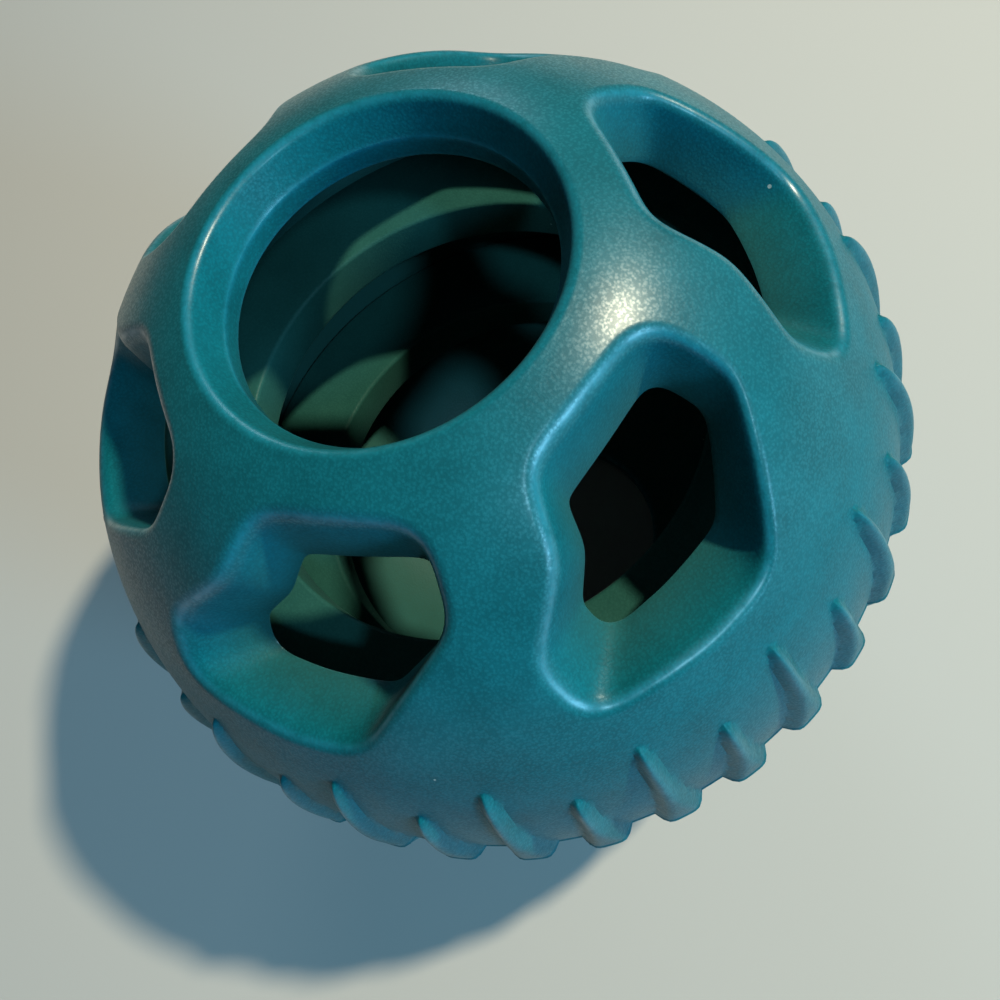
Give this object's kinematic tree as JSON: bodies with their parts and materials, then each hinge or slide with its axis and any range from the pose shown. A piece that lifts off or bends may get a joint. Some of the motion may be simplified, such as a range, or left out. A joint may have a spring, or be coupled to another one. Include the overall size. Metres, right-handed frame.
{
  "type": "treat dispensing ball",
  "caption": "Hollow moulded rubber treat ball with slanted windows round the upper mouth, ribbed equator and inner baffle rings.",
  "frame": {"origin": "centre of the ball, on the seam plane", "axes": "+Z out of the upper mouth, -Y through the middle of one upper window and its long fin"},
  "size_m": [0.1118, 0.1118, 0.0982],
  "materials": {
    "shell_rubber": "matt",
    "baffle_rubber": "matt"
  },
  "bodies": {
    "root": {"upper_shell": "shell_rubber", "lower_shell": "shell_rubber", "upper_baffle": "baffle_rubber", "lower_baffle": "baffle_rubber"}
  },
  "joints": []
}
